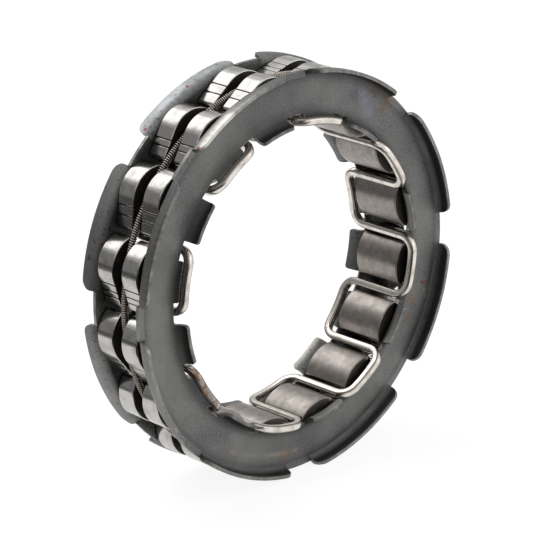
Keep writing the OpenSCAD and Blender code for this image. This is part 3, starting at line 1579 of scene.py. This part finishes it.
@dataclass
class Studio:
    """A white table, a soft light overhead, a fill from the front and dark cards for the steel to mirror.

    Attributes:
        table_z: The height of the table, in drawn millimetres.
        table_w: The width of the table, in metres.
        table_plain: How light the table is for the light that it throws back on the object.
        table_glow: How light it is to the eye in the deepest shadow.
        table_lit: How much of its lightness comes from the light on it.
        mat_lift: How far the mats lie over the table, in metres.
        aim: The point that the camera looks at, in millimetres.
        distance: The camera's distance from it, in millimetres.
        ambient: How bright the surroundings light the object.
    """

    table_z: float = -34.8
    table_w: float = 8.0
    table_plain: float = 0.5
    table_glow: float = 0.86
    table_lit: float = 0.3
    mat_lift: float = 0.0005
    aim: tuple[float, float, float] = (-0.8, 0.74, -0.04)
    distance: float = 500.5
    azimuth: float = -42.96
    elevation: float = 19.11
    roll: float = -0.87
    lens: float = 202.63
    sensor: float = 36.0
    nearest: float = 0.01
    ambient: float = 0.45

    def camera(self) -> None:
        """Sets the camera where the photograph was taken from."""
        data = bpy.data.cameras.new("camera")
        data.lens = self.lens
        data.sensor_width = self.sensor
        data.clip_start = self.nearest
        camera = bpy.data.objects.new("camera", data)
        turn = Matrix.Rotation(math.radians(self.azimuth), 4, "Z")
        turn @= Matrix.Rotation(math.radians(90 - self.elevation), 4, "X")
        turn @= Matrix.Rotation(math.radians(self.roll), 4, "Z")
        back_off = Matrix.Translation(Vector((0, 0, self.distance)) * MM)
        camera.matrix_world = Matrix.Translation(Vector(self.aim) * MM) @ turn @ back_off
        bpy.context.scene.collection.objects.link(camera)
        bpy.context.scene.camera = camera

    @staticmethod
    def seen(graph: Graph) -> Socket:
        """Finds the rays that show the white background: camera, glossy and transmission.

        Args:
            graph: The node tree.

        Returns:
            1 for those rays and 0 for the rest.
        """
        path = graph.add("ShaderNodeLightPath")
        shown = graph.larger(path.outputs["Is Camera Ray"], path.outputs["Is Glossy Ray"])
        return graph.larger(shown, path.outputs["Is Transmission Ray"])

    def world(self) -> None:
        """Makes the white surroundings, which light the object at a plain level."""
        world = bpy.data.worlds.new("surroundings")
        bpy.context.scene.world = world
        graph = Graph(world)
        shown = self.seen(graph)
        ambient = graph.grey("ShaderNodeBackground", self.ambient)
        white = graph.grey("ShaderNodeBackground", 1.0)
        graph.close("ShaderNodeOutputWorld", graph.either(shown, ambient, white))

    def table(self) -> None:
        """Makes the table: white to the eye, with the object's soft shadow on it."""
        graph = Graph.of_material("white_table")
        shown = self.seen(graph)
        plain = graph.grey("ShaderNodeBsdfDiffuse", self.table_plain)
        white = graph.add("ShaderNodeAddShader")
        graph.feed(white.inputs[0], graph.grey("ShaderNodeEmission", self.table_glow))
        graph.feed(white.inputs[1], graph.grey("ShaderNodeBsdfDiffuse", self.table_lit))
        graph.close("ShaderNodeOutputMaterial", graph.either(shown, plain, white.outputs[0]))
        at = Vector((0, 0, self.table_z * MM))
        self.panel("table", at, Vector((0, 0, 1)), (self.table_w, self.table_w), graph.owner)

    def panel(
        self, name: str, at: Vector, facing: Vector, size: Place, finish: bpy.types.Material
    ) -> bpy.types.Object:
        """Adds a flat panel of the studio.

        Args:
            name: Its name.
            at: Its centre, in metres.
            facing: The direction that it faces.
            size: Its width and height, in metres.
            finish: Its material.

        Returns:
            The panel.
        """
        mesh = bpy.data.meshes.new(name)
        w, h = size[0] / 2, size[1] / 2
        mesh.from_pydata([(-w, -h, 0), (w, -h, 0), (w, h, 0), (-w, h, 0)], [], [(0, 1, 2, 3)])
        mesh.materials.append(finish)
        panel = bpy.data.objects.new(name, mesh)
        panel.matrix_world = Matrix.Translation(at) @ facing.to_track_quat("Z", "Y").to_matrix().to_4x4()
        bpy.context.scene.collection.objects.link(panel)
        return panel

    def mirrored(self, name: str, at: Vector, facing: Vector, size: Place, shade: float) -> bpy.types.Object:
        """Adds a grey panel that is seen only where metal mirrors it.

        Args:
            name: Its name.
            at: Its centre, in metres.
            facing: The direction that it faces.
            size: Its width and height, in metres.
            shade: How light it is, where 1 is white.

        Returns:
            The panel.
        """
        graph = Graph.of_material(f"{name}_grey")
        graph.close("ShaderNodeOutputMaterial", graph.grey("ShaderNodeEmission", shade))
        panel = self.panel(name, at, facing, size, graph.owner)
        panel.visible_camera = False
        panel.visible_diffuse = False
        panel.visible_shadow = False
        panel.visible_transmission = False
        return panel

    def card(self, name: str, at: Vector, size: Place, shade: float) -> None:
        """Stands a grey card that faces the object, at a place and of a size in metres."""
        self.mirrored(name, at, -at, size, shade)

    def mat(self, name: str, at: Place, size: Place, shade: float) -> None:
        """Lays a grey mat on the table, turned towards the object.

        Args:
            name: Its name.
            at: The place of its centre on the table, in metres.
            size: Its width and height, in metres.
            shade: How light it is, where 1 is white.
        """
        raised = Vector((*at, self.table_z * MM + self.mat_lift))
        mat = self.mirrored(name, raised, Vector((0, 0, 1)), size, shade)
        mat.rotation_euler = (0, 0, math.atan2(raised.y, raised.x))

    def lamp(self, name: str, at: Vector, size: Place, level: float) -> None:
        """Hangs a soft lamp that faces the object.

        Args:
            name: Its name.
            at: Its place, in metres.
            size: Its width and height, in metres.
            level: How bright its face is, where a white wall is 1.
        """
        data = bpy.data.lights.new(name, "AREA")
        data.shape = "RECTANGLE"
        data.size, data.size_y = size
        data.energy = level * math.pi * size[0] * size[1]
        lamp = bpy.data.objects.new(name, data)
        lamp.matrix_world = Matrix.Translation(at) @ at.to_track_quat("Z", "Y").to_matrix().to_4x4()
        bpy.context.scene.collection.objects.link(lamp)

    def build(self) -> None:
        """Sets up the camera, the surroundings, the table, the lamps and the cards."""
        self.camera()
        self.world()
        self.table()
        self.lamp("overhead", Vector((-0.12, 0.66, 1.0)), (1.1, 1.05), 1.3)
        self.lamp("front_fill", Vector((0.9, -1.2, 0.5)), (1.0, 0.9), 0.9)
        self.card("back_right_card", Vector((0.85, 0.8, 0.3)), (1.2, 0.72), 0.62)
        self.card("back_left_card", Vector((-0.85, 0.85, 0.26)), (2.2, 0.76), 0.3)
        self.card("left_high_card", Vector((-0.725, 0.453, 0.69)), (0.9, 0.42), 0.6)
        self.card("left_card", Vector((-1.3, -0.55, 0.26)), (1.8, 0.72), 0.2)
        self.card("front_left_card", Vector((-0.75, -0.95, 0.2)), (0.9, 0.7), 0.06)
        self.mat("back_left_mat", (-0.5, 0.55), (1.2, 1.4), 0.2)
        self.mat("front_left_mat", (-0.48, -0.3), (1.0, 0.9), 0.03)
        bpy.context.scene.view_settings.view_transform = "Standard"


@dataclass
class Clutch:
    """The whole clutch: its finishes with their stains and painted light and shade, its cage and its sprags.

    Attributes:
        plate_z: The height of the front plate's outer face, on which most of the stains lie.
    """

    plate_z: float = 5.55
    purple: Colour = (0.12, 0.085, 0.135)
    blue: Colour = (0.25, 0.25, 0.31)
    green: Colour = (0.15, 0.165, 0.13)
    brown: Colour = (0.20, 0.115, 0.065)
    tan: Colour = (0.15, 0.12, 0.09)
    straw: Colour = (0.27, 0.235, 0.19)
    red: Colour = (0.22, 0.03, 0.025)
    dark_red: Colour = (0.16, 0.015, 0.015)
    rust: Colour = (0.065, 0.040, 0.028)
    dark_rust: Colour = (0.05, 0.025, 0.02)
    ochre: Colour = (0.22, 0.10, 0.04)
    grime: Colour = (0.085, 0.055, 0.045)
    # Painted shade on the top and bottom of the front plate
    dark: Colour = (0.07, 0.072, 0.072)
    # Painted light on the left of the front plate
    light: Colour = (0.25, 0.252, 0.242)
    # Painted sheen on the front plate at the upper right
    painted_sheen: Colour = (0.19, 0.188, 0.18)
    rubbed: Colour = (0.30, 0.29, 0.27)
    scuffed: Colour = (0.45, 0.43, 0.40)
    chipped: Colour = (0.36, 0.31, 0.26)
    # Painted highlight along the free edge of the front ring's top left lips
    painted_edge_highlight: Colour = (0.80, 0.77, 0.72)
    bare: Colour = (0.50, 0.515, 0.53)
    # Painted light on the rear ring's lips at the lower left
    painted_light_low: Colour = (0.30, 0.30, 0.295)
    # Painted light on the rear ring's lips at the left
    painted_light_left: Colour = (0.26, 0.262, 0.255)
    # Painted light on one tab of the rear ring
    painted_light_tab: Colour = (0.56, 0.53, 0.46)

    # How far down its slope a sprag is scored, in millimetres, for one sprag after another
    SCORES: ClassVar[tuple[tuple[float, ...], ...]] = (
        (0.9, 2.3, 3.4),
        (1.1, 2.9),
        (1.9, 3.1),
        (1.3, 2.9),
    )

    def spots(self, *places: Place) -> tuple[Vector, ...]:
        """Returns the drawn points on the front plate at some radii and angles."""
        return tuple(around(radius, angle, self.plate_z) for radius, angle in places)

    def plate_stains_and_painted_light(self) -> tuple[Stain, ...]:
        """Places the stains, the painted light and the painted shade of the front ring.

        Returns:
            Its broad painted light and painted shade, heat tints, spots and rubbed places.
        """
        notch = (*self.spots((27.2, 12)), around(27.1, 17, 6.0), around(27.1, 6, 6.0))
        return (
            # Painted light on the left of the front plate, then painted shade on its top and bottom
            Stain(self.spots((31.0, 186)), 22.0, self.light, 0.6, 1.0),
            Stain(self.spots((31.0, 100)), 15.0, self.dark, 0.35, 1.0),
            Stain(self.spots((31.0, 268)), 15.0, self.dark, 0.35, 1.0),
            # Painted sheen on the front plate at the upper right
            Stain(self.spots((30.0, 38)), 4.5, self.painted_sheen, 0.5, 0.6),
            Stain(self.spots((32.4, 60), (31.2, 58), (29.9, 55.5)), 2.3, self.blue, 0.75, 0.5),
            Stain(self.spots((33.7, 57.5), (33.0, 49.5)), 2.0, self.brown, 0.65, 0.1),
            Stain(self.spots((31.6, 50.5)), 2.6, self.tan, 0.7, 0.3),
            Stain(self.spots((31.2, 63.5)), 1.6, self.purple, 0.7, 0.3),
            Stain(along(34.7, 7.85, range(150, 186, 2)), 0.9, self.grime, 0.75),
            Stain(along(31.3, self.plate_z, range(-119, -90)), 0.7, self.straw, 0.8, 0.1),
            Stain(along(35.4, 6.6, range(115, 133, 3)), 2.8, self.rubbed, 0.8, 0.9),
            Stain(along(34.9, 8.0, range(104, 120, 2)), 1.2, self.scuffed, 0.7, 0.3),
            # Painted highlight along the free edge of the top left lips
            Stain(along(34.9, 8.1, range(118, 132, 2)), 1.9, self.painted_edge_highlight, 1.0, 1.0),
            Stain((around(34.9, 129.6, 6.9),), 0.5, self.dark_red, 1.0, 1.0),
            Stain((around(34.2, 147.5, 7.85), around(34.1, 145.7, 7.85)), 0.6, self.red, 0.9, 0.8),
            Stain(notch, 1.6, self.brown, 0.6),
            Stain(self.spots((29.7, -23), (30.4, -29)), 1.8, self.brown, 0.5),
            Stain(self.spots((30.5, -33)), 2.0, self.green, 0.6),
            Stain(self.spots((31.0, -26)), 1.6, self.purple, 0.6),
            Stain(self.spots((31.4, -16.7)), 0.6, self.red, 0.9, 0.7),
            Stain(self.spots((32.3, -19.1), (32.9, -20.9)), 0.45, self.chipped, 0.9, 0.8),
            Stain(self.spots((31.7, -95)), 2.2, self.brown, 0.4),
        )

    def rear_stains_and_painted_light(self) -> tuple[Stain, ...]:
        """Places the stains and the painted light of the rear ring.

        Returns:
            The bare places on its top left lips, painted light on its other left lips and on one tab, and
            its red spots.
        """
        return (
            Stain(along(35.4, -7.6, range(97, 132, 3)), 3.4, self.bare, 0.85, 0.62),
            # Painted light on the lower left lips
            Stain(along(35.0, -7.2, range(184, 222, 6)), 4.0, self.painted_light_low, 0.7, 0.8),
            # Painted light on one tab's free edge
            Stain(along(25.9, -8.0, range(-63, -47, 2)), 1.5, self.painted_light_tab, 0.85, 0.8),
            # Painted light on the left lips
            Stain(along(35.2, -7.2, range(140, 184, 6)), 4.5, self.painted_light_left, 0.6, 0.9),
            Stain((around(34.9, 111.3, -6.2),), 0.5, self.red, 1.0, 0.8),
            Stain((around(34.9, 118.9, -5.2),), 0.45, self.red, 0.9, 0.8),
            Stain((around(34.9, 128.8, -6.3),), 0.5, self.red, 1.0, 0.8),
        )

    def wire_stains(self) -> tuple[Stain, ...]:
        """Places the stains of the wire.

        Returns:
            The rust on its lower left loop.
        """
        return (
            Stain(along(26.6, 7.2, range(-159, -138, 3)), 2.1, self.rust, 0.95, 0.75),
            Stain((around(26.6, -156, 7.4), around(26.6, -148, 7.4)), 1.6, self.ochre, 0.8),
        )

    def sprag_stains(self) -> tuple[Stain, ...]:
        """Places the stains of the sprags.

        Returns:
            The two smears at the top left.
        """
        return (
            Stain((around(34.7, 118.3, -2.3),), 1.1, self.red, 0.9),
            Stain((around(34.3, 111.8, -1.5),), 0.9, self.dark_rust, 1.0),
        )

    def build(self) -> Iterator[bpy.types.Object]:
        """Builds the clutch piece by piece.

        Yields:
            Each piece as it is made.
        """
        front = PhosphateFinish("front_phosphate", self.plate_stains_and_painted_light())
        rear = PhosphateFinish("rear_phosphate", self.rear_stains_and_painted_light(), rub=0.8, specks=0.65)
        yield SideRing(Side.FRONT).build(front.material())
        yield SideRing(Side.REAR, tab_turn_a=-0.5).build(rear.material())
        yield RetainingWire().build(BrightWireFinish("bright_wire", self.wire_stains()).material())
        yield GarterSpring().build(SpringWireFinish("spring_wire").material())
        # Painted shade: the ends get a darker copy of the ground steel, as they lie in shade behind the
        # rings
        ends = GroundSteelFinish("shaded_sprag_ends", outside=(0.34, 0.32, 0.30), foot=(0.30, 0.275, 0.25))
        finishes = {
            Look.GROUND: GroundSteelFinish("ground_steel", self.sprag_stains()).material(),
            # The groove's almost black is painted shade
            Look.GROOVE: GrooveFinish("painted_groove_shade").material(),
            Look.END: ends.material(),
        }
        for number in range(1, SPRAGS + 1):
            yield Sprag(number, self.SCORES[number % len(self.SCORES)]).build(finishes)


def main() -> None:
    """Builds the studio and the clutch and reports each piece."""
    logging.basicConfig(level=logging.INFO, format="%(name)s: %(message)s")
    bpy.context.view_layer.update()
    Studio().build()
    for piece in Clutch().build():
        LOG.info("built %s", piece.name)


if __name__ == "__main__":
    main()
